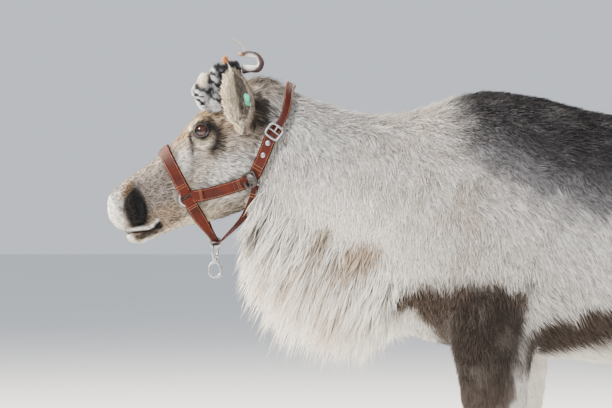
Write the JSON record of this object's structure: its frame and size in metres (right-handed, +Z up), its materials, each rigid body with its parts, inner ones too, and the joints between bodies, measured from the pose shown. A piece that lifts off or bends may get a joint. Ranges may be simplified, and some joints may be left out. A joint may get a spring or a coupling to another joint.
{
  "type": "reindeer",
  "caption": "Standing domestic reindeer in winter coat with velvet antler stumps, a leather halter with a swivel, and an ear tag; a still, life-size model.",
  "frame": {"origin": "centre of the bounding box at the level of the soles", "axes": "+Z up, the nose points along -X and the left side faces -Y"},
  "size_m": [1.7938, 0.4478, 1.1165],
  "materials": {
    "coat": "dense short fur",
    "long_hair": "long pale guard hair",
    "velvet": "dark velvet fur with frosted tips",
    "eye": "wet, clear",
    "hoof": "dull dark horn",
    "leather": "oiled red-brown leather",
    "steel": "worn plated steel",
    "tag_plastic": "semi-gloss, bare"
  },
  "bodies": {
    "root": {"head": "coat", "eye_left": "eye", "eye_right": "eye", "neck": "long_hair", "torso": "coat", "foreleg_left_upper": "coat", "foreleg_left_lower": "coat", "hoof_fore_left_outer": "hoof", "dewclaw_fore_left_outer": "hoof", "hoof_fore_left_inner": "hoof", "dewclaw_fore_left_inner": "hoof", "hindleg_left_upper": "coat", "hindleg_left_lower": "coat", "hoof_hind_left_outer": "hoof", "dewclaw_hind_left_outer": "hoof", "hoof_hind_left_inner": "hoof", "dewclaw_hind_left_inner": "hoof", "foreleg_right_upper": "coat", "foreleg_right_lower": "coat", "hoof_fore_right_outer": "hoof", "dewclaw_fore_right_outer": "hoof", "hoof_fore_right_inner": "hoof", "dewclaw_fore_right_inner": "hoof", "hindleg_right_upper": "coat", "hindleg_right_lower": "coat", "hoof_hind_right_outer": "hoof", "dewclaw_hind_right_outer": "hoof", "hoof_hind_right_inner": "hoof", "dewclaw_hind_right_inner": "hoof", "tail": "long_hair", "ear_left": "coat", "ear_right": "coat", "ear_tag": "tag_plastic", "antler_left_beam": "velvet", "antler_left_brow": "velvet", "antler_left_tine": "velvet", "antler_right_beam": "velvet", "antler_right_brow": "velvet", "noseband": "leather", "cheek_strap_left": "leather", "cheek_strap_right": "leather", "crown_strap": "leather", "chin_strap": "leather", "throat_strap": "leather", "nose_ring_left": "steel", "junction_ring_left": "steel", "rivet_left_1": "steel", "rivet_left_2": "steel", "nose_ring_right": "steel", "junction_ring_right": "steel", "rivet_right_1": "steel", "rivet_right_2": "steel", "buckle": "steel", "swivel_loop": "steel", "swivel_shackle": "steel", "swivel_lower": "steel"}
  },
  "joints": []
}
